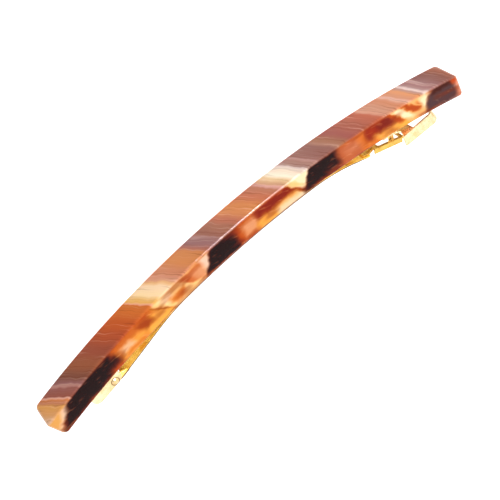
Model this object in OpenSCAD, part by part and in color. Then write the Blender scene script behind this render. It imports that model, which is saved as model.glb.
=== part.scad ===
// Barrette: an arched acetate bar on a French automatic clip.
// The frame: +X runs along the bar from the hinge to the catch, +Y runs across it, and +Z points
// out of the front face. The origin is on the resting plane, under the middle of the bar.
// A place on the clip is given by x along the bar and by its depth below the bar's underside.

/* [Bar] */
// Length of the bar along its front face
bar_length = 116; // [112:0.5:130]
// Width of the bar across the front face
bar_width = 7; // [6.4:0.1:10]
// Thickness of the bar from front face to underside
bar_thick = 5.6; // [4.6:0.1:8]
// Radius of the arched front face
bar_radius = 200; // [185:1:260]
// Radius of the softened long edges
edge_radius = 0.5; // [0.2:0.05:0.9]
// Radius of the rounded corners at the two ends
corner_radius = 1.4; // [0.6:0.1:1.6]

/* [Clip] */
// Thickness of the base plate and its ears
base_thick = 0.5; // [0.4:0.05:0.6]
// Thickness of the spring strip that makes the clasp arm
strip_thick = 0.4; // [0.3:0.05:0.5]
// Width of the spring strip
strip_width = 4; // [3.6:0.1:4.2]
// Gap for the hair between base plate and strip, mid-length
hair_gap = 0.45; // [0.35:0.05:0.6]
// Radius of the hinge pin
pin_radius = 0.6; // [0.5:0.05:0.65]

/* [Catch] */
// Thickness of the catch spring's band
band_thick = 0.4; // [0.3:0.05:0.45]
// Depth of the band's lower edge below the bar
band_depth = 3.4; // [3.2:0.1:3.8]

/* [Hidden] */
$fn = 96;
arc_fn = 1440;
tiny = 0.01;

// Where things lie along the bar
pin_x = -41.35;
pin_depth = 2.05;
ear_from = -47.6;
ear_to = -39.4;
ear_depth = 2.95;
base_end = 49.4;
rivet_x = [-33, 28];
strip_flat = [-19.4, 17.2];
catch_x = 45;

// Arcs that share the bar's centre
under_radius = bar_radius - bar_thick;
bar_half_angle = bar_length / 2 / bar_radius * 180 / PI;
end_round = 1;
bar_reach = (bar_radius - end_round) * sin(bar_half_angle) + end_round * (1 - cos(bar_half_angle));
catch_angle = asin(catch_x / under_radius);
band_reach = 5.7;
centre_z = band_reach * sin(catch_angle) - (under_radius - band_depth) * cos(catch_angle);

// Fits and fasteners
pin_clearance = 0.05;
pin_bore = pin_radius + pin_clearance;
pin_head_radius = pin_radius + 0.22;
pin_head_height = 0.2;
shank_radius = 0.5;
shank_depth = 3;
rivet_head_radius = 1.1;
rivet_head_height = 0.3;
sink_radius = 0.85;

// Base plate
side_play = 0.05;
base_width = strip_width + 2 * side_play + 2 * base_thick;
ear_round = 1.45;
tongue_width = 3.4;
tongue_from = 40.2;

// Clasp arm: a flat middle, a bend at each side, and straight ends
strip_radius = under_radius - base_thick - hair_gap;
bend_radius = 40;
bend_left = 10.85;
bend_right = 14.6;
left_run = 12.8;
right_run = 4.5;
lug_thick = 0.4;
lug_radius = 1.2;

// Arm head: a slotted channel on a stepped foot that is welded to the strip
head_length = 7.9;
head_wall = 0.4;
head_width = strip_width + 2 * head_wall + 0.04;
head_height = 1.2;
head_top = 1.25;
head_start = 5.45;
foot_length = 2.65;
foot_width = 3.4;
slot_width = 3.4;
slot_from = 1.3;
slot_end = 0.7;
slot_corner = 0.5;

// Catch spring, drawn in the catch's own flat frame: x is measured from catch_x
end_radius = 3.6;
end_centre = [band_reach - end_radius, 0];
flex_angle = 50.4;
bridge_angle = 46;
seat_gap = 0.06;
flare = 12;
flare_length = 9;
band_top = 1.2;
web_thick = 0.4;
prong_from = -7.7;
prong_to = -6.3;
prong_inner = 0.9;
prong_outer = 1.3;
lip_outer = 1.65;
lip_top = 3.45;
lip_bottom = 3.9;

function angle_at(x) = asin(x / under_radius);

// Stand on the bar's underside at x along the bar, with +Z still pointing out of the bar
module at_bar(x) {
    translate([0, 0, centre_z])
        rotate([0, angle_at(x), 0])
            translate([0, 0, under_radius])
                children();
}

// Outline with two rounded corners at its far end, from x = 0 to length
module round_ended(length, width, radius) {
    translate([0, -width / 2])
        square([length - radius, width]);
    translate([0, -width / 2 + radius])
        square([length, width - 2 * radius]);
    for (side = [-1, 1])
        translate([length - radius, side * (width / 2 - radius)])
            circle(r = radius);
}

// What is cut away to round one square edge that runs along Z, in the +X +Y quarter
module edge_cutter(radius, length) {
    difference() {
        translate([-radius, -radius, -length / 2])
            cube([radius + 1, radius + 1, length]);
        translate([-radius, -radius, 0])
            cylinder(r = radius, h = length + 2, center = true);
        translate([-radius - 2, -radius - 2, -length / 2 - 1])
            cube([2, radius + 4, length + 2]);
    }
}

module bar_section() {
    round_off = edge_radius;
    translate([under_radius, -bar_width / 2 + round_off])
        square([bar_thick, bar_width - 2 * round_off]);
    translate([under_radius + round_off, -bar_width / 2])
        square([bar_thick - 2 * round_off, bar_width]);
    for (r = [under_radius + round_off, bar_radius - round_off])
        for (side = [-1, 1])
            translate([r, side * (bar_width / 2 - round_off)])
                circle(r = round_off, $fn = 48);
}

// The hinge end is square to the bar, with its edges rounded
module hinge_end_cuts() {
    translate([0, 0, centre_z])
        rotate([0, bar_half_angle, 0]) {
            for (side = [0, 1])
                mirror([0, side, 0])
                    translate([0, bar_width / 2, under_radius])
                        edge_cutter(corner_radius, 4 * bar_thick);
            translate([0, 0, bar_radius])
                rotate([90, 0, 0])
                    edge_cutter(end_round, 4 * bar_width);
            translate([0, 0, under_radius])
                mirror([0, 0, 1])
                    rotate([90, 0, 0])
                        edge_cutter(end_round, 4 * bar_width);
        }
}

// The catch end is square to the chord, so the bar is longer there along its underside
module catch_end_cuts() {
    translate([bar_reach, -bar_width, 0])
        cube([20, 2 * bar_width, 20]);
    for (side = [0, 1])
        mirror([0, side, 0])
            translate([bar_reach, bar_width / 2, 0])
                edge_cutter(corner_radius, 60);
}

module acetate_bar() {
    color([0.55, 0.22, 0.1])
        difference() {
            translate([0, 0, centre_z])
                rotate([90, 0, 0])
                    rotate_extrude(angle = 2 * bar_half_angle + 1, start = 89 - bar_half_angle, $fn = arc_fn)
                        bar_section();
            mirror([1, 0, 0])
                hinge_end_cuts();
            catch_end_cuts();
            for (x = rivet_x)
                at_bar(x)
                    translate([0, 0, -1])
                        cylinder(r = shank_radius, h = shank_depth + 1);
        }
}

// One ear of the base, seen from the side: x along the bar, y up
module ear_outline() {
    length = ear_to - ear_from;
    start = ear_from - pin_x;
    translate([start, -ear_depth + ear_round])
        square([length, ear_depth - ear_round]);
    translate([start + ear_round, -ear_depth])
        square([length - 2 * ear_round, ear_depth]);
    for (x = [start + ear_round, start + length - ear_round])
        translate([x, -ear_depth + ear_round])
            circle(r = ear_round);
}

// The arched strip, a hair narrower than the outside of the ears
module base_strip() {
    width = base_width - 2 * tiny;
    translate([0, 0, centre_z])
        rotate([90, 0, 0])
            rotate_extrude(angle = angle_at(base_end) - angle_at(ear_from), start = 90 - angle_at(base_end),
                           $fn = arc_fn)
                translate([under_radius - base_thick, -width / 2])
                    square([base_thick, width]);
}

module base_plate() {
    color([0.86, 0.66, 0.28])
        difference() {
            union() {
                base_strip();
                at_bar(pin_x)
                    for (side = [-1, 1])
                        translate([0, side * (base_width - base_thick) / 2 + base_thick / 2, 0])
                            rotate([90, 0, 0])
                                linear_extrude(height = base_thick)
                                    intersection() {
                                        ear_outline();
                                        translate([-20, -20])
                                            square([40, 20 - base_thick / 2]);
                                    }
            }
            at_bar(pin_x)
                translate([0, 0, -pin_depth])
                    rotate([90, 0, 0])
                        cylinder(r = pin_radius + tiny, h = 2 * base_width, center = true);
            for (x = rivet_x)
                at_bar(x)
                    cylinder(r = shank_radius, h = 4, center = true);
            at_bar(catch_x) {
                cylinder(r = shank_radius, h = 4, center = true);
                translate([0, 0, -base_thick + tiny])
                    cylinder(r1 = shank_radius, r2 = sink_radius, h = base_thick);
            }
            for (side = [-1, 1])
                translate([tongue_from, side * (tongue_width / 2 + base_width) - base_width, 0])
                    cube([20, 2 * base_width, 20]);
            for (side = [-1, 1])
                at_bar(pin_x - 2.6)
                    translate([0, side * base_width / 2, -0.35])
                        cube([1.6, 4 * base_thick, 0.5], center = true);
        }
}

module mounting_rivets() {
    color([0.8, 0.62, 0.25])
        for (x = rivet_x)
            at_bar(x) {
                translate([0, 0, -base_thick - rivet_head_height])
                    cylinder(r = rivet_head_radius, h = rivet_head_height);
                translate([0, 0, -base_thick - tiny])
                    cylinder(r = shank_radius, h = shank_depth - 0.2 + base_thick);
            }
}

module hinge_pin() {
    color([0.8, 0.62, 0.25])
        at_bar(pin_x)
            translate([0, 0, -pin_depth])
                rotate([90, 0, 0]) {
                    cylinder(r = pin_radius, h = base_width + pin_head_height, center = true);
                    for (side = [0, 1])
                        mirror([0, 0, side])
                            translate([0, 0, base_width / 2 + tiny])
                                cylinder(r1 = pin_head_radius, r2 = pin_radius - 0.1, h = pin_head_height);
                }
}

// Points on an arc, at angles measured from +Z towards +X
function arc_points(centre, radius, from, to, steps) =
    [for (i = [0:steps]) centre + radius * unit_at(from + (to - from) * i / steps)];
function unit_at(angle) = [sin(angle), cos(angle)];

// One long surface of the strip, from its left end to its right end, seen from the side. inset is the
// distance of this surface below the strip's upper one.
function strip_surface(inset) =
    let (
        left = angle_at(strip_flat[0]),
        right = angle_at(strip_flat[1]),
        left_centre = (strip_radius - bend_radius) * unit_at(left),
        right_centre = (strip_radius - bend_radius) * unit_at(right),
        left_end = left_centre + (bend_radius - inset) * unit_at(left - bend_left),
        right_end = right_centre + (bend_radius - inset) * unit_at(right + bend_right)
    )
    concat(
        [left_end - left_run * unit_at(left - bend_left + 90)],
        arc_points(left_centre, bend_radius - inset, left - bend_left, left, 12),
        arc_points([0, 0], strip_radius - inset, left, right, 24),
        arc_points(right_centre, bend_radius - inset, right, right + bend_right, 12),
        [right_end + right_run * unit_at(right + bend_right + 90)]
    );

function reversed(points) = [for (i = [len(points) - 1:-1:0]) points[i]];

module clasp_arm() {
    color([0.93, 0.72, 0.25]) {
        translate([0, strip_width / 2, centre_z])
            rotate([90, 0, 0])
                linear_extrude(height = strip_width)
                    polygon(concat(strip_surface(0), reversed(strip_surface(strip_thick))));
        arm_lugs();
    }
}

// Stand on the strip's upper surface where its straight right run starts
module at_strip_run() {
    translate([0, 0, centre_z])
        rotate([0, angle_at(strip_flat[1]), 0])
            translate([0, 0, strip_radius - bend_radius])
                rotate([0, bend_right, 0])
                    translate([0, 0, bend_radius])
                        children();
}

// Two lugs turned up from the strip's left end, which hold the hinge pin
module arm_lugs() {
    at_bar(pin_x)
        for (side = [-1, 1])
            translate([0, side * (strip_width - lug_thick) / 2 + lug_thick / 2, -pin_depth])
                rotate([90, 0, 0])
                    linear_extrude(height = lug_thick)
                        difference() {
                            union() {
                                circle(r = lug_radius);
                                polygon([
                                    [0, -lug_radius],
                                    [0.6, lug_radius - 0.16],
                                    [3.4, -0.75],
                                    [3.6, -1.35],
                                    [1.1, -1.45]
                                ]);
                            }
                            circle(r = pin_bore);
                        }
}

module head_floor() {
    slot_length = head_length - slot_from - slot_end;
    difference() {
        round_ended(head_length, head_width, 0.5);
        translate([slot_from + slot_length / 2, 0])
            for (side = [0, 1])
                mirror([side, 0])
                    round_ended(slot_length / 2, slot_width, slot_corner);
    }
}

// Side view of the foot and the step up to the floor
module head_step() {
    polygon([
        [-foot_length, 0],
        [-foot_length, head_wall],
        [-1.15, head_wall],
        [0.05, head_top],
        [slot_from - 0.3, head_top],
        [slot_from - 0.3, head_top - head_wall],
        [0.2, head_top - head_wall],
        [-1, 0]
    ]);
}

module arm_head() {
    color([0.95, 0.78, 0.36])
        at_strip_run()
            translate([head_start, 0, 0]) {
                translate([0, 0, head_top - head_wall])
                    linear_extrude(height = head_wall)
                        head_floor();
                translate([0, foot_width / 2, 0])
                    rotate([90, 0, 0])
                        linear_extrude(height = foot_width)
                            head_step();
                for (side = [-1, 1])
                    translate([0, side * (head_width - head_wall) / 2 - head_wall / 2, head_top - head_height])
                        cube([head_length - 0.5, head_wall, head_height - tiny]);
            }
}

// The catch's own flat frame: x from catch_x, z = 0 at the bar's underside
module at_catch() {
    at_bar(catch_x)
        children();
}

// The part of the catch's round end that lies between two angles from its middle line
module end_band(from, to) {
    far = 3 * end_radius;
    translate(end_centre)
        intersection() {
            difference() {
                circle(r = end_radius);
                circle(r = end_radius - band_thick);
            }
            polygon([
                [0, 0],
                far * [cos(from), sin(from)],
                far * [cos((from + to) / 2), sin((from + to) / 2)],
                far * [cos(to), sin(to)]
            ]);
        }
}

module catch_bridge() {
    color([0.95, 0.8, 0.42])
        at_catch()
            difference() {
                union() {
                    translate([0, 0, -band_depth])
                        linear_extrude(height = band_depth - base_thick - seat_gap)
                            end_band(-bridge_angle, bridge_angle);
                    translate([-2.2, -tongue_width / 2, -base_thick - band_thick])
                        cube([band_reach + 2, tongue_width, band_thick - seat_gap]);
                }
                cylinder(r = shank_radius, h = 10, center = true);
            }
}

module catch_rivet() {
    color([0.8, 0.62, 0.25])
        at_catch() {
            translate([0, 0, -base_thick - band_thick - 0.25])
                cylinder(r = 0.9, h = 0.25);
            translate([0, 0, -base_thick - band_thick - tiny])
                cylinder(r = shank_radius, h = band_thick + base_thick);
            translate([0, 0, -base_thick + tiny])
                cylinder(r1 = shank_radius, r2 = sink_radius - tiny, h = base_thick - 2 * tiny);
        }
}

// One long surface of the wing's band in plan, on the +Y side: along the round end, then straight
function wing_line(radius) = concat(
    arc_points(end_centre, radius, 90 - flex_angle, flare, 10),
    [end_centre + radius * unit_at(flare) + flare_length * unit_at(flare - 90)]
);

// The rounded tip of the band
function wing_tip() =
    let (middle = end_centre + (end_radius - band_thick / 2) * unit_at(flare) + flare_length * unit_at(flare - 90))
    arc_points(middle, band_thick / 2, flare - 22.5, flare - 157.5, 6);

module wing_band() {
    polygon(concat(wing_line(end_radius), wing_tip(), reversed(wing_line(end_radius - band_thick))));
    translate(end_centre + (end_radius - band_thick / 2) * unit_at(90 - flex_angle))
        circle(r = band_thick / 2 + tiny);
}

// The wing on the +Y side; the other one is its mirror image
module wing() {
    translate([0, 0, -band_depth])
        linear_extrude(height = band_depth - band_top)
            wing_band();
    translate([0, 0, -band_top - web_thick])
        linear_extrude(height = web_thick - tiny)
            polygon([
                [-2.6, prong_inner],
                [-2.4, 4.4],
                [-3.2, 4.3],
                [-4.2, 4.3],
                [-5.3, 4.7],
                [-5.8, 5.1],
                [-5.1, 2.6],
                [prong_from, prong_outer],
                [prong_from, prong_inner]
            ]);
    translate([prong_from, 0, 0])
        rotate([90, 0, 90])
            linear_extrude(height = prong_to - prong_from)
                polygon([
                    [prong_inner, -band_top - web_thick / 2],
                    [prong_outer, -band_top - web_thick / 2],
                    [prong_outer, -lip_top],
                    [lip_outer, -lip_top],
                    [prong_outer, -lip_bottom],
                    [prong_inner, -lip_bottom]
                ]);
}

module far_pinch_wing() {
    color([0.96, 0.84, 0.5])
        at_catch()
            wing();
}

module near_pinch_wing() {
    color([0.96, 0.84, 0.5])
        at_catch()
            mirror([0, 1, 0])
                wing();
}

acetate_bar();
base_plate();
mounting_rivets();
hinge_pin();
clasp_arm();
arm_head();
catch_bridge();
catch_rivet();
near_pinch_wing();
far_pinch_wing();
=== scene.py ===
import math

import bmesh
import bpy
from mathutils import Matrix, Vector


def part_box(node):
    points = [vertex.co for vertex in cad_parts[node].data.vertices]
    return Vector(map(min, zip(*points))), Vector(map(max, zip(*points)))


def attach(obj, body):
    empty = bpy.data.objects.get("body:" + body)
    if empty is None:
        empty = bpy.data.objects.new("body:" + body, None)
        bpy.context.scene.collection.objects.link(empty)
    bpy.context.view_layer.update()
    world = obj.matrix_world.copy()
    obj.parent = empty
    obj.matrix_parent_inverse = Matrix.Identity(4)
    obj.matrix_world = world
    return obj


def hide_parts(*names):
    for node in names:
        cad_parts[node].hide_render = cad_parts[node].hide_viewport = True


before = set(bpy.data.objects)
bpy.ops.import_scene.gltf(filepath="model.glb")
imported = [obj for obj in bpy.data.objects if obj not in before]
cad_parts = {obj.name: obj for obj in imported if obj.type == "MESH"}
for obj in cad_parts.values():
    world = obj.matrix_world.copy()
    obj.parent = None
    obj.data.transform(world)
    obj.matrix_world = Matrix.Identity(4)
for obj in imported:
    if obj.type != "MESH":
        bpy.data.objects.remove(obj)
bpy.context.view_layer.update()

MM = 0.001
BAR_RADIUS = 200.0
BAR_THICK = 5.6
BAR_WIDTH = 7.0
BAR_LENGTH = 116.0
BAR_HALF_ANGLE = BAR_LENGTH / 2 / BAR_RADIUS
UNDER_RADIUS = BAR_RADIUS - BAR_THICK
EDGE = 0.5
END_EDGE = 1.4
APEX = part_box("acetate_bar")[1].z / MM
BAR_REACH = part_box("acetate_bar")[1].x / MM
CENTRE_Z = APEX - BAR_RADIUS


# ---------------------------------------------------------------- node building


class Ink:
    """Builds one material's nodes, with sockets or plain numbers as inputs."""

    def __init__(self, name):
        self.material = bpy.data.materials.new(name)
        self.material.use_nodes = True
        self.tree = self.material.node_tree
        self.shader = self.tree.nodes["Principled BSDF"]
        self.tone = rgb

    def put(self, socket, value):
        if isinstance(value, bpy.types.NodeSocket):
            self.tree.links.new(value, socket)
        else:
            socket.default_value = value

    def math(self, operation, a, b=0.0, c=0.0):
        node = self.tree.nodes.new("ShaderNodeMath")
        node.operation = operation
        for socket, value in zip(node.inputs, (a, b, c)):
            self.put(socket, value)
        return node.outputs[0]

    def add(self, a, b):
        return self.math("ADD", a, b)

    def mul(self, a, b):
        return self.math("MULTIPLY", a, b)

    def madd(self, a, b, c):
        return self.math("MULTIPLY_ADD", a, b, c)

    def length(self, a, b):
        return self.math("SQRT", self.madd(a, a, self.mul(b, b)))

    def step(self, value, low, high, start=0.0, end=1.0):
        """Rises smoothly from start at low to end at high."""
        node = self.tree.nodes.new("ShaderNodeMapRange")
        node.interpolation_type = "SMOOTHSTEP"
        for socket, given in zip(node.inputs, (value, low, high, start, end)):
            self.put(socket, given)
        return node.outputs[0]

    def mix(self, factor, a, b, blend="MIX"):
        node = self.tree.nodes.new("ShaderNodeMix")
        node.data_type = "RGBA"
        node.blend_type = blend
        self.put(node.inputs[0], factor)
        self.put(node.inputs[6], self.tone(a) if isinstance(a, tuple) else a)
        self.put(node.inputs[7], self.tone(b) if isinstance(b, tuple) else b)
        return node.outputs[2]

    def mix_value(self, factor, a, b):
        """Plain a where the factor is 0 and b where it is 1."""
        return self.madd(self.math("SUBTRACT", b, a), factor, a)

    def noise(self, vector, scale, detail=2.0, roughness=0.5, distortion=0.0):
        node = self.tree.nodes.new("ShaderNodeTexNoise")
        self.put(node.inputs["Vector"], vector)
        self.put(node.inputs["Scale"], scale)
        self.put(node.inputs["Detail"], detail)
        self.put(node.inputs["Roughness"], roughness)
        self.put(node.inputs["Distortion"], distortion)
        return node.outputs["Fac"]

    def vector(self, x, y, z):
        node = self.tree.nodes.new("ShaderNodeCombineXYZ")
        for socket, value in zip(node.inputs, (x, y, z)):
            self.put(socket, value)
        return node.outputs[0]

    def place(self):
        """Object coordinates in millimetres, as a vector and as x, y, z."""
        source = self.tree.nodes.new("ShaderNodeTexCoord").outputs["Object"]
        scale = self.tree.nodes.new("ShaderNodeVectorMath")
        scale.operation = "SCALE"
        self.put(scale.inputs[0], source)
        self.put(scale.inputs["Scale"], 1 / MM)
        split = self.tree.nodes.new("ShaderNodeSeparateXYZ")
        self.put(split.inputs[0], scale.outputs[0])
        return scale.outputs[0], *split.outputs

    def ramp(self, factor, stops, low, high):
        """A colour ramp over low to high. One ramp node holds 32 stops, so a long list uses several."""
        place = self.step_linear(factor, low, high)
        made = None
        for first in range(0, len(stops) - 1, 30):
            part = stops[first : first + 31]
            node = self.tree.nodes.new("ShaderNodeValToRGB")
            node.color_ramp.interpolation = "EASE"
            elements = node.color_ramp.elements
            while len(elements) < len(part):
                elements.new(0.5)
            for element, (at, colour) in zip(elements, part):
                element.position = (at - low) / (high - low)
            for element, (at, colour) in zip(elements, part):
                element.color = self.tone(colour)
            self.put(node.inputs[0], place)
            if made is None:
                made = node.outputs[0]
            else:
                past = self.math("GREATER_THAN", factor, part[0][0])
                made = self.mix(past, made, node.outputs[0])
        return made

    def step_linear(self, value, low, high):
        node = self.tree.nodes.new("ShaderNodeMapRange")
        for socket, given in zip(node.inputs, (value, low, high)):
            self.put(socket, given)
        return node.outputs[0]

    def linear(self, colour):
        """A colour that was mixed as display values, as a linear one."""
        node = self.tree.nodes.new("ShaderNodeGamma")
        self.put(node.inputs[0], colour)
        self.put(node.inputs[1], 2.2)
        return node.outputs[0]

    def bump(self, height, strength, distance):
        node = self.tree.nodes.new("ShaderNodeBump")
        self.put(node.inputs["Height"], height)
        node.inputs["Strength"].default_value = strength
        node.inputs["Distance"].default_value = distance
        self.put(self.shader.inputs["Normal"], node.outputs[0])


def rgb(colour):
    """A display colour from 0 to 255 as the linear colour that a socket takes."""
    out = []
    for c in colour[:3]:
        c = c / 255
        out.append(c / 12.92 if c <= 0.04045 else ((c + 0.055) / 1.055) ** 2.4)
    return (*out, 1.0)


def display(colour):
    """A display colour from 0 to 255 as fractions, for mixing the way the eye sees it."""
    return (*(c / 255 for c in colour[:3]), 1.0)


# ---------------------------------------------------------------- acetate


# The front face's colours along the bar: its own marbling with painted light baked in, a pale painted
# reflection over the whole face and painted highlights in the cream zones near -23 mm and 12 mm.
FRONT_COLOURS = [
    (-57.5, (214, 170, 140)),
    (-54.2, (214, 150, 92)),
    (-52.9, (216, 152, 84)),
    (-51.9, (190, 120, 90)),
    (-51.2, (205, 124, 78)),
    (-50.7, (222, 162, 142)),
    (-50.2, (148, 86, 72)),
    (-48.5, (150, 92, 84)),
    (-47.8, (190, 138, 126)),
    (-47.3, (142, 94, 90)),
    (-45.5, (128, 78, 62)),
    (-42.5, (152, 88, 62)),
    (-39.0, (154, 80, 60)),
    (-35.0, (178, 82, 50)),
    (-32.0, (192, 88, 44)),
    (-28.6, (206, 108, 50)),
    (-27.2, (204, 108, 52)),
    (-26.8, (236, 166, 138)),
    (-26.2, (232, 172, 92)),
    (-24.4, (252, 216, 164)),
    (-22.0, (250, 212, 172)),
    (-21.0, (236, 180, 122)),
    (-20.2, (214, 146, 116)),
    (-18.0, (204, 128, 92)),
    (-15.0, (210, 130, 76)),
    (-12.4, (206, 128, 76)),
    (-11.4, (176, 108, 92)),
    (-10.0, (150, 104, 102)),
    (-8.6, (152, 106, 102)),
    (-8.1, (178, 134, 128)),
    (-7.3, (154, 98, 82)),
    (-4.4, (166, 106, 84)),
    (-2.6, (190, 110, 84)),
    (-0.5, (212, 132, 82)),
    (1.6, (212, 130, 76)),
    (4.6, (198, 112, 80)),
    (7.2, (186, 116, 90)),
    (8.0, (222, 164, 154)),
    (8.8, (212, 158, 120)),
    (10.2, (234, 196, 148)),
    (11.4, (255, 240, 214)),
    (13.0, (252, 228, 202)),
    (13.8, (216, 190, 172)),
    (14.3, (255, 234, 222)),
    (14.8, (172, 132, 122)),
    (16.4, (168, 120, 106)),
    (17.2, (188, 140, 130)),
    (17.8, (152, 102, 92)),
    (21.8, (148, 98, 88)),
    (22.6, (174, 122, 102)),
    (24.0, (164, 108, 82)),
    (26.5, (162, 88, 78)),
    (30.0, (172, 94, 74)),
    (33.8, (190, 100, 74)),
    (34.8, (216, 152, 126)),
    (36.6, (204, 142, 114)),
    (39.6, (210, 134, 98)),
    (41.0, (228, 174, 154)),
    (41.9, (214, 142, 108)),
    (43.8, (226, 150, 100)),
    (44.7, (190, 140, 126)),
    (45.5, (244, 218, 208)),
    (46.2, (176, 134, 130)),
    (47.4, (164, 114, 110)),
    (48.2, (200, 160, 154)),
    (49.0, (152, 106, 102)),
    (51.5, (144, 94, 84)),
    (54.0, (168, 104, 84)),
    (57.5, (196, 122, 98)),
]

BLACK = (30, 3, 2)
RUST = (172, 66, 14)
ORANGE = (204, 104, 34)
AMBER = (230, 156, 62)
TAN = (208, 136, 92)
CREAM = (246, 214, 170)
MAUVE = (74, 48, 50)

ROUNDING = 1.1

# Regions of the flank, later ones over earlier ones. Each has its left and right border at the front
# edge, how far each border moves per mm down the flank, its top and bottom, its softness and colour.
FLANK_REGIONS = [
    (-58, -49, 0, -1.0, -1, 7, 0.5, (214, 150, 78)),
    (-51.2, -49.4, -0.9, -0.9, -1, 4.0, 0.5, (226, 182, 148)),
    (-54.2, -52.8, 0.2, 0.2, 3.2, 4.6, 0.35, RUST),
    (-49.4, -36.6, -1.05, 0.1, 0.2, 5.0, 0.7, BLACK),
    (-40.6, -35.0, 0.2, 1.2, 4.3, 6, 0.7, RUST),
    (-36.4, -25.4, 0.1, 0.7, -1, 7, 0.8, AMBER),
    (-37.2, -26.0, -0.2, 0.4, -1, 1.4, 0.7, RUST),
    (-36.8, -29.0, 0.4, 0.3, 0.6, 2.6, 0.8, (190, 92, 30)),
    (-36.4, -33.6, 0.4, 0.3, 2.4, 4.0, 0.6, (222, 170, 130)),
    (-36.6, -30.6, 0.3, 0.3, 4.2, 5.0, 0.5, ORANGE),
    (-30.2, -27.6, 0.3, 0.3, 1.2, 3.4, 0.5, (150, 58, 10)),
    (-25.8, -25.3, 0.72, 0.72, -0.5, 4.4, 0.3, (140, 58, 12)),
    (-25.3, -10.0, 0.72, -0.6, -1, 7, 0.35, (238, 188, 118)),
    (-24.2, -21.0, 0.7, 0.2, 1.0, 3.4, 0.5, CREAM),
    (-22.4, -17.0, 0.3, -0.3, 2.6, 4.0, 0.5, ORANGE),
    (-18.6, -11.0, 0.95, 0.1, 0.7, 4.0, 0.35, (192, 92, 42)),
    (-15.6, -11.4, 0.4, 0.1, 1.8, 4.6, 0.7, TAN),
    (-12.6, -9.6, 0.2, -0.5, 0.2, 3.8, 0.5, (226, 182, 156)),
    (-9.0, -2.4, -0.75, 0.0, 0.2, 5.0, 0.45, BLACK),
    (-3.4, 3.6, 0.1, -0.3, 0.4, 5.6, 0.7, RUST),
    (-1.4, 2.2, 0.0, 0.2, 1.4, 4.4, 0.7, TAN),
    (2.2, 10.6, 0.1, 0.9, 0.4, 7, 0.6, (124, 30, 8)),
    (3.0, 12.4, -0.2, 0.5, 3.2, 7, 0.7, AMBER),
    (7.0, 12.0, 0.0, 0.5, 4.0, 7, 0.6, (222, 192, 152)),
    (9.8, 12.0, 1.0, 0.8, 0.3, 5.0, 0.5, (136, 48, 8)),
    (15.8, 24.2, -0.3, 0.1, 0.2, 5.0, 0.6, BLACK),
    (10.2, 17.0, 1.15, -0.75, -1, 3.5, 0.35, CREAM),
    (10.2, 11.6, 1.1, 1.1, -1, 2.6, 0.4, (240, 186, 116)),
    (19.4, 24.0, 0.2, 0.2, 4.2, 6, 0.5, (110, 40, 18)),
    (23.8, 31.4, 0.1, 0.3, 0.6, 7, 0.9, (176, 86, 48)),
    (25.4, 29.0, 0.2, 0.4, 1.8, 3.4, 0.8, (190, 108, 72)),
    (29.2, 37.2, 0.2, 0.6, -1, 7, 0.8, ORANGE),
    (31.4, 36.6, -0.1, 0.6, 0.4, 3.4, 0.8, (116, 26, 6)),
    (31.2, 33.2, 0.3, 0.3, 1.2, 2.6, 0.7, (152, 44, 10)),
    (31.4, 39.4, 0.6, 0.8, 3.6, 7, 0.7, AMBER),
    (36.4, 38.6, 0.8, 0.8, 0.4, 3.8, 0.4, RUST),
    (37.4, 47.0, 0.95, -0.1, -1, 7, 0.4, (232, 166, 98)),
    (37.6, 39.4, 1.05, 1.05, 0.6, 3.9, 0.35, CREAM),
    (39.6, 41.2, 1.3, 1.5, 0.5, 3.2, 0.35, RUST),
    (42.4, 43.4, 1.3, 1.6, 1.3, 3.4, 0.35, (188, 96, 44)),
    (45.0, 47.6, 0.3, -0.2, 0.6, 3.6, 0.4, CREAM),
    (46.4, 58, 0.4, 0.3, 3.0, 7, 0.5, (150, 98, 86)),
    (48.0, 58, -0.3, 0.4, 0.3, 5.0, 0.45, MAUVE),
    (48.4, 54.6, 0.0, 0.0, 0.2, 1.3, 0.35, (66, 22, 12)),
    (53.6, 58, 0.35, 0.4, -1, 7, 0.5, (216, 132, 100)),
    (53.2, 55.4, 0.3, 0.3, -1, 1.5, 0.5, (180, 62, 20)),
]


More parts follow.
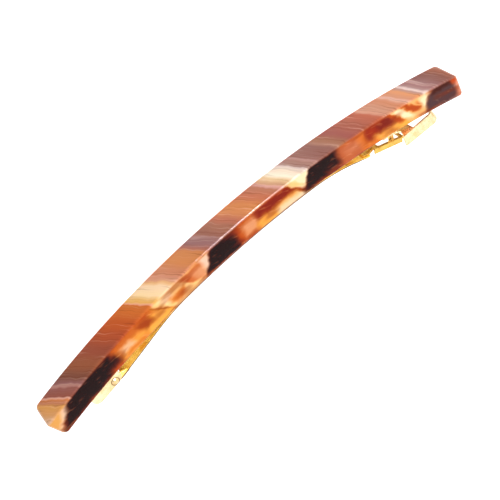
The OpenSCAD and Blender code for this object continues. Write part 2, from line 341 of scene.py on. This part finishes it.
def acetate_material():
    ink = Ink("marbled_acetate")
    ink.tone = display
    place, x, y, z = ink.place()
    up = ink.add(z, -CENTRE_Z)
    radius = ink.length(x, up)
    along = ink.mul(ink.math("DIVIDE", x, radius), UNDER_RADIUS)
    depth = ink.math("SUBTRACT", BAR_RADIUS, radius)

    broad = ink.noise(place, 0.28, 2.0, 0.5)
    fine = ink.noise(place, 0.8, 1.0)
    lean = ink.madd(along, -0.003, 0.55)
    front_along = ink.madd(y, lean, along)
    front_along = ink.madd(ink.add(broad, -0.5), 1.6, front_along)
    front = ink.ramp(front_along, FRONT_COLOURS, -58, 58)

    side_along = ink.madd(ink.add(y, BAR_WIDTH / 2), 0.55, along)
    side_along = ink.madd(ink.add(broad, -0.5), 2.0, side_along)
    side_along = ink.madd(ink.add(fine, -0.5), 0.6, side_along)
    side_depth = ink.madd(ink.add(ink.noise(place, 0.45, 2.0), -0.5), 1.6, depth)
    flank = RUST
    for left, right, left_lean, right_lean, top, bottom, soft, colour in FLANK_REGIONS:
        from_left = ink.madd(side_depth, -left_lean, ink.add(side_along, -left))
        from_right = ink.madd(side_depth, right_lean, ink.madd(side_along, -1.0, right))
        inside = ink.math("SMOOTH_MIN", from_left, from_right, ROUNDING)
        if top > 0:
            below = ink.add(side_depth, -top)
            inside = ink.math("SMOOTH_MIN", inside, below, ROUNDING)
        if bottom < BAR_THICK:
            above = ink.madd(side_depth, -1.0, bottom)
            inside = ink.math("SMOOTH_MIN", inside, above, ROUNDING)
        mask = ink.step(inside, -1.9 * soft, 1.3 * soft)
        flank = ink.mix(mask, flank, colour)

    drift = ink.noise(ink.vector(ink.mul(side_along, 0.3), y, depth), 0.5, 1.0)
    flank = ink.mix(ink.step(drift, 0.5, 0.25, 0.0, 0.5), flank, (120, 38, 12))

    wisps = ink.noise(
        ink.vector(ink.mul(side_along, 0.3), 0.0, ink.madd(side_along, -0.25, depth)),
        1.3,
        1.0,
    )
    flank = ink.mix(ink.step(wisps, 0.56, 0.76, 0.0, 0.22), flank, (240, 184, 128))

    # fine veins that run with the streaks
    vein_place = ink.vector(front_along, ink.mul(y, 0.04), 0.0)
    veins = ink.noise(vein_place, 1.9, 1.0)
    light = ink.step(veins, 0.55, 0.75, 0.0, 0.28)
    front = ink.mix(light, front, (250, 214, 190))
    shade = ink.step(veins, 0.45, 0.26, 0.0, 0.24)
    front = ink.mix(shade, front, (92, 34, 18))
    colour = ink.mix(ink.step(depth, 0.15, 0.75), front, flank)
    # Painted reflection: a lighter band along the rounded bottom edge of the flank.
    painted_rim_sheen = ink.step(depth, BAR_THICK - 0.7, BAR_THICK - 0.1, 0.0, 0.4)
    colour = ink.mix(painted_rim_sheen, colour, (150, 84, 60))
    # Painted highlights: pale bands on the rounded edges at both ends of the bar.
    painted_left_end_highlight = ink.step(along, -54.8, -55.5, 0.0, 0.6)
    colour = ink.mix(painted_left_end_highlight, colour, (240, 200, 180))
    painted_right_end_highlight = ink.step(x, BAR_REACH - 1.1, BAR_REACH - 0.2, 0.0, 0.65)
    colour = ink.mix(painted_right_end_highlight, colour, (232, 188, 172))
    ink.put(ink.shader.inputs["Base Color"], ink.linear(colour))

    scuffs = ink.noise(ink.vector(ink.mul(x, 0.3), y, z), 6.0, 4.0, 0.7)
    ink.put(ink.shader.inputs["Roughness"], ink.step(scuffs, 0.3, 0.8, 0.07, 0.2))
    ink.shader.inputs["IOR"].default_value = 1.48
    ink.shader.inputs["Specular IOR Level"].default_value = 0.1
    ink.shader.inputs["Subsurface Weight"].default_value = 0.03
    ink.shader.inputs["Subsurface Radius"].default_value = (1.0, 0.45, 0.2)
    ink.shader.inputs["Subsurface Scale"].default_value = 0.0012
    ink.bump(ink.noise(place, 0.9, 2.0), 0.06, 0.0004)
    return ink.material


# ---------------------------------------------------------------- gold

pin_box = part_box("hinge_pin")
PIN = (Vector(pin_box[0]) + Vector(pin_box[1])) / 2 / MM

# The spring strip seen from the side: an arched middle with a bend on each side of it
STRIP_FLAT = (-19.4, 17.2)
STRIP_MIDDLE = 18.2
STRIP_DEPTH = 0.95
STRIP_BEND = 40.0
STRIP_BEND_LEFT = 10.85
STRIP_RADIUS = UNDER_RADIUS - STRIP_DEPTH
STRIP_LEFT, STRIP_RIGHT = (math.asin(x / UNDER_RADIUS) for x in STRIP_FLAT)
STRIP_BENDS = [
    (
        (STRIP_RADIUS - STRIP_BEND) * math.sin(a),
        CENTRE_Z + (STRIP_RADIUS - STRIP_BEND) * math.cos(a),
    )
    for a in (STRIP_LEFT, STRIP_RIGHT)
]
STRIP_LEFT_ANGLE = STRIP_LEFT - math.radians(STRIP_BEND_LEFT)
STRIP_LEFT_X = STRIP_BENDS[0][0] + STRIP_BEND * math.sin(STRIP_LEFT_ANGLE)


def painted_edge_shade(ink, x, y, z):
    """A painted dark reflection: the dark line along the lower half of the spring strip's two long
    edges, where their rounded lower corners face down.
    """
    distances = []
    for cx, cz in STRIP_BENDS:
        distances.append(ink.length(ink.add(x, -cx), ink.add(z, -cz)))
    dx, dz = ink.add(x, -STRIP_BENDS[0][0]), ink.add(z, -STRIP_BENDS[0][1])
    straight = ink.madd(
        dx, math.sin(STRIP_LEFT_ANGLE), ink.mul(dz, math.cos(STRIP_LEFT_ANGLE))
    )
    left = ink.mix_value(ink.math("LESS_THAN", x, STRIP_LEFT_X), distances[0], straight)
    height = ink.mix_value(ink.math("LESS_THAN", x, 0.0), distances[1], left)
    arc = ink.add(ink.length(x, ink.add(z, -CENTRE_Z)), STRIP_BEND - STRIP_RADIUS)
    offset = ink.math("ABSOLUTE", ink.add(x, -(STRIP_FLAT[0] + STRIP_FLAT[1]) / 2))
    height = ink.mix_value(ink.math("LESS_THAN", offset, STRIP_MIDDLE), height, arc)
    low = ink.step(height, STRIP_BEND - 0.07, STRIP_BEND - 0.13)
    edge = ink.step(ink.math("ABSOLUTE", y), 1.88, 1.95)
    return ink.mul(low, edge)


def pin_stain(ink, x, y, z):
    """The dark ring in the ears round the peened pin."""
    r = ink.length(ink.add(x, -PIN.x), ink.add(z, -PIN.z))
    return ink.mul(ink.step(r, 0.78, 0.84), ink.step(r, 1.06, 0.98, 0.0, 0.8))


def gold_material(name, colour, deep, pale, roughness, grain, stain_and_shade=None):
    """Polished gold plate: thin tarnish, faint drawing lines along the strip and worn pale spots."""
    ink = Ink(name)
    place, x, y, z = ink.place()
    patch = ink.noise(place, 0.5, 3.0, 0.6)
    speck = ink.noise(place, 4.5, 4.0, 0.7)
    lines = ink.noise(ink.vector(ink.mul(x, 0.15), ink.mul(y, 3.0), z), 3.0, 2.0)
    tone = ink.mix(ink.step(patch, 0.35, 0.7), colour, deep)
    tone = ink.mix(ink.step(speck, 0.58, 0.72, 0.0, 0.5), tone, pale)
    if stain_and_shade is not None:
        # Dark brown where the mark function gives it: a painted dark reflection along the spring
        # strip's lower edges, and the dark ring round the pin in the ears.
        tone = ink.mix(stain_and_shade(ink, x, y, z), tone, (96, 52, 18))
    ink.put(ink.shader.inputs["Base Color"], tone)
    ink.shader.inputs["Metallic"].default_value = 1.0
    rough = ink.step(speck, 0.3, 0.75, roughness, roughness + 0.16)
    ink.put(ink.shader.inputs["Roughness"], rough)
    ink.bump(ink.add(ink.mul(lines, grain), ink.mul(speck, 0.4)), 0.12, 0.00012)
    return ink.material


# ---------------------------------------------------------------- meshes


def smooth(bm, angle=32):
    for face in bm.faces:
        face.smooth = True
    for edge in bm.edges:
        if len(edge.link_faces) == 2 and edge.calc_face_angle() > math.radians(angle):
            edge.smooth = False


def finish_mesh(bm, name, material):
    bmesh.ops.recalc_face_normals(bm, faces=bm.faces)
    data = bpy.data.meshes.new(name)
    bm.to_mesh(data)
    bm.free()
    data.materials.append(material)
    made = bpy.data.objects.new(name, data)
    bpy.context.scene.collection.objects.link(made)
    return made


def soften(thing):
    """Small rounded edges that catch the light."""
    weld = thing.modifiers.new("weld", "WELD")
    weld.merge_threshold = 2e-6
    bevel = thing.modifiers.new("soft_edges", "BEVEL")
    bevel.width = 0.07 * MM
    bevel.segments = 2
    bevel.limit_method = "ANGLE"
    bevel.angle_limit = math.radians(32)
    bevel.harden_normals = True


def bar_ring(inset, corner_steps):
    """Points (y, depth) round the bar's section, moved in by inset."""
    corner = max(EDGE - inset * 0.4, 0.12)
    half_width = BAR_WIDTH / 2 - inset
    top, bottom = inset, BAR_THICK - inset
    centres = [
        (half_width - corner, top + corner, -90),
        (half_width - corner, bottom - corner, 0),
        (-half_width + corner, bottom - corner, 90),
        (-half_width + corner, top + corner, 180),
    ]
    ring = []
    for cy, cd, start in centres:
        for i in range(corner_steps + 1):
            a = math.radians(start + 90 * i / corner_steps)
            ring.append((cy + corner * math.cos(a), cd + corner * math.sin(a)))
    return ring


def acetate_bar():
    bm = bmesh.new()
    length = 2 * BAR_HALF_ANGLE * BAR_RADIUS
    ends = [END_EDGE * (1 - math.cos(math.radians(a))) for a in range(0, 91, 9)]
    stations = list(ends)
    count = 150
    stations += [
        END_EDGE + (length - 2 * END_EDGE) * i / count for i in range(1, count)
    ]
    stations += [length - e for e in reversed(ends)]
    rings = []
    for s in stations:
        from_end = min(s, length - s)
        inset = 0.0
        if from_end < END_EDGE:
            inset = END_EDGE - math.sqrt(END_EDGE**2 - (END_EDGE - from_end) ** 2)
        ring = []
        for y, depth in bar_ring(inset, 6):
            r = BAR_RADIUS - depth
            right = math.asin(BAR_REACH / r)
            a = -BAR_HALF_ANGLE + s / length * (BAR_HALF_ANGLE + right)
            ring.append(
                bm.verts.new(
                    Vector((r * math.sin(a), y, CENTRE_Z + r * math.cos(a))) * MM
                )
            )
        rings.append(ring)
    for a, b in zip(rings, rings[1:]):
        for i in range(len(a)):
            j = (i + 1) % len(a)
            bm.faces.new((a[i], a[j], b[j], b[i]))
    bm.faces.new(rings[0])
    bm.faces.new(list(reversed(rings[-1])))
    smooth(bm)
    bar = finish_mesh(bm, "marbled_bar", acetate_material())
    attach(bar, "bar_and_base")
    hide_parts("acetate_bar")
    return bar


acetate_bar()

# ---------------------------------------------------------------- catch

CATCH_X = 45
CATCH_ANGLE = math.asin(CATCH_X / UNDER_RADIUS)
CATCH_END = Vector((2.1, 0))
CATCH_ROUND = 3.6
BAND = 0.4
BAND_LOW, BAND_HIGH, BRIDGE_HIGH = -3.4, -1.2, -0.58
FLARE = 12
FLARE_RUN = 9.0
WING_TURN = 39.6
BRIDGE_TURN = 46
WEB_LOW = -1.6
PRONG_FROM, PRONG_TO = -7.7, -6.3
PRONG_INNER, PRONG_OUTER, LIP_OUTER = 0.9, 1.3, 1.65
LIP_HIGH, LIP_LOW = -3.45, -3.9
TONGUE_FROM, TONGUE_TO, TONGUE_SIDE = -2.2, 4.3, 1.7
TONGUE_LOW, TONGUE_HIGH = -0.9, -0.56
LEAN_CLOSED, LEAN_FREE = 1.15, 0.6


def in_catch(x, y, z):
    """A point of the catch's own flat frame, in the shared frame."""
    up = z + UNDER_RADIUS
    c, s = math.cos(CATCH_ANGLE), math.sin(CATCH_ANGLE)
    return Vector((x * c + up * s, y, CENTRE_Z - x * s + up * c)) * MM


def unit_at(degrees):
    a = math.radians(degrees)
    return Vector((math.sin(a), math.cos(a)))


def prism(bm, rings):
    """A solid from rings of points that each hold as many points."""
    made = [[bm.verts.new(in_catch(*p)) for p in ring] for ring in rings]
    for a, b in zip(made, made[1:]):
        for i in range(len(a)):
            j = (i + 1) % len(a)
            bm.faces.new((a[i], a[j], b[j], b[i]))
    bm.faces.new(made[0])
    bm.faces.new(list(reversed(made[-1])))


def leaning_band(bm, line, high, side):
    """The catch spring's band: its lower edge follows the line, and its upper edge leans inwards."""
    rings = []
    for at, out, along in line:
        lean = LEAN_CLOSED + (LEAN_FREE - LEAN_CLOSED) * along
        lean_high = lean * (high - BAND_LOW) / (BAND_HIGH - BAND_LOW)
        corners = (
            (at, BAND_LOW),
            (at - out * lean_high, high),
            (at - out * (lean_high + BAND), high),
            (at - out * BAND, BAND_LOW),
        )
        rings.append([(p.x, p.y * side, z) for p, z in corners])
    prism(bm, rings)


def finish_catch(bm, name, body, node, material):
    smooth(bm)
    made = finish_mesh(bm, name, material)
    soften(made)
    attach(made, body)
    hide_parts(node)


def wing(name, body, node, side, material):
    bm = bmesh.new()
    line = []
    for i in range(13):
        turn = WING_TURN + (FLARE - WING_TURN) * i / 12
        out = unit_at(turn)
        line.append((CATCH_END + CATCH_ROUND * out, out, 0.1 + 0.02 * i))
    out, ahead = unit_at(FLARE), unit_at(FLARE - 90)
    start = line[-1][0]
    for i in range(1, 9):
        line.append((start + ahead * FLARE_RUN * i / 8, out, 0.34 + 0.66 * i / 8))
    leaning_band(bm, line, BAND_HIGH, side)
    web = [
        (-2.6, PRONG_INNER),
        (-2.4, 3.6),
        (-3.2, 3.65),
        (-4.2, 3.85),
        (-5.3, 4.2),
        (-5.8, 4.4),
        (-5.1, 2.6),
        (PRONG_FROM, PRONG_OUTER),
        (PRONG_FROM, PRONG_INNER),
    ]
    prism(bm, [[(x, y * side, z) for x, y in web] for z in (WEB_LOW, BAND_HIGH)])
    web_middle = (WEB_LOW + BAND_HIGH) / 2
    lip = [
        (PRONG_INNER, web_middle),
        (PRONG_OUTER, web_middle),
        (PRONG_OUTER, LIP_HIGH),
        (LIP_OUTER, LIP_HIGH),
        (PRONG_OUTER, LIP_LOW),
        (PRONG_INNER, LIP_LOW),
    ]
    prism(bm, [[(x, y * side, z) for y, z in lip] for x in (PRONG_FROM, PRONG_TO)])
    finish_catch(bm, name, body, node, material)


def bridge(material):
    bm = bmesh.new()
    line = []
    for i in range(25):
        out = unit_at(90 - BRIDGE_TURN + 2 * BRIDGE_TURN * i / 24)
        line.append((CATCH_END + CATCH_ROUND * out, out, abs(i - 12) / 120))
    leaning_band(bm, line, BRIDGE_HIGH, 1)
    tongue = [
        (TONGUE_FROM, -TONGUE_SIDE),
        (TONGUE_TO, -TONGUE_SIDE),
        (TONGUE_TO, TONGUE_SIDE),
        (TONGUE_FROM, TONGUE_SIDE),
    ]
    prism(bm, [[(x, y, z) for x, y in tongue] for z in (TONGUE_LOW, TONGUE_HIGH)])
    finish_catch(bm, "bridge_band", "bar_and_base", "catch_bridge", material)


# One gold plate in lit and shaded copies, toned part by part: pale cream for the plate with its ears
# and for the catch, whose sides face the bright surroundings, and saturated amber for the spring strip,
# standing for light bounced between bar and base. These tone differences are painted light.
gold = gold_material(
    "gold_plate", (230, 212, 174), (212, 184, 132), (240, 228, 200), 0.2, 0.5, pin_stain
)
spring = gold_material(
    "gold_spring",
    (252, 214, 120),
    (242, 190, 80),
    (255, 238, 186),
    0.16,
    1.2,
    painted_edge_shade,
)
catch = gold_material(
    "gold_catch", (228, 208, 168), (206, 174, 118), (240, 226, 194), 0.22, 0.4
)
rivet = gold_material(
    "gold_rivet", (236, 190, 104), (206, 150, 66), (250, 224, 160), 0.3, 0.3
)
wing("near_wing_band", "near_wing", "near_pinch_wing", -1, catch)
wing("far_wing_band", "far_wing", "far_pinch_wing", 1, catch)
bridge(catch)
# A deeper, darker copy of the same gold for the arm head: painted shade.
head = gold_material(
    "gold_head", (214, 172, 88), (178, 128, 48), (238, 208, 146), 0.2, 0.6
)
NODE_MATERIALS = {
    "base_plate": gold,
    "mounting_rivets": rivet,
    "hinge_pin": catch,
    "clasp_arm": spring,
    "arm_head": head,
    "catch_rivet": rivet,
}
for name, material in NODE_MATERIALS.items():
    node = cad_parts[name]
    node.data.materials.clear()
    node.data.materials.append(material)
    if "custom_normal" in node.data.attributes:
        node.data.attributes.remove(node.data.attributes["custom_normal"])
    for face in node.data.polygons:
        face.use_smooth = True
    soften(node)

# ---------------------------------------------------------------- camera, floor, light

TILT, YAW, ROLL = math.radians(-47.97), math.radians(13.16), math.radians(50.27)
CAMERA_DISTANCE = 228.6
turn = (
    Matrix.Rotation(ROLL, 3, "Z")
    @ Matrix.Rotation(TILT, 3, "X")
    @ Matrix.Rotation(YAW, 3, "Y")
)
camera_data = bpy.data.cameras.new("camera")
camera = bpy.data.objects.new("camera", camera_data)
bpy.context.scene.collection.objects.link(camera)
target = Vector((0, 0, APEX - 5))
camera.matrix_world = Matrix.Translation(
    (target + turn[2] * CAMERA_DISTANCE) * MM
) @ turn.transposed().to_4x4()
camera_data.lens = 78.9
camera_data.sensor_width = 36
camera_data.shift_x = 0.0100
camera_data.shift_y = -0.0468
camera_data.clip_start = 0.01
camera_data.clip_end = 20
bpy.context.scene.camera = camera

floor_ink = Ink("pale_floor")
floor_ink.shader.inputs["Base Color"].default_value = (0.95, 0.95, 0.95, 1)
floor_ink.shader.inputs["Roughness"].default_value = 0.9
floor_ink.shader.inputs["Emission Color"].default_value = (1, 1, 1, 1)
floor_ink.shader.inputs["Emission Strength"].default_value = 0.5
bm = bmesh.new()
bmesh.ops.create_grid(bm, x_segments=1, y_segments=1, size=6)
bmesh.ops.translate(bm, verts=bm.verts, vec=(0, 0, -0.06))
floor = finish_mesh(bm, "floor", floor_ink.material)

world = bpy.data.worlds.new("soft_studio")
world.use_nodes = True
world.node_tree.nodes["Background"].inputs[0].default_value = (1, 1, 1, 1)
world.node_tree.nodes["Background"].inputs[1].default_value = 0.5
bpy.context.scene.world = world


def area_light(name, place, aim, size, power, gloss_only=False):
    data = bpy.data.lights.new(name, "AREA")
    data.shape = "RECTANGLE"
    data.size, data.size_y = size
    data.energy = power
    light = bpy.data.objects.new(name, data)
    light.location = place
    light.rotation_mode = "QUATERNION"
    light.rotation_quaternion = (Vector(aim) - Vector(place)).to_track_quat("-Z", "Y")
    light.visible_diffuse = not gloss_only
    bpy.context.scene.collection.objects.link(light)


# The glint lies where the bar's rounded near edge mirrors it to the camera; it only shows in gloss
KEY_PLACE = (0.12, -0.52, 0.59)
area_light("key", KEY_PLACE, (0, 0, 0), (0.3, 0.3), 3.6)
area_light("glint", KEY_PLACE, (0, 0, 0), (0.2, 0.8), 55, gloss_only=True)
area_light("fill", (0.2, 0.5, 0.45), (0, 0, 0), (0.6, 0.5), 1.2)

bpy.context.scene.view_settings.view_transform = "Standard"
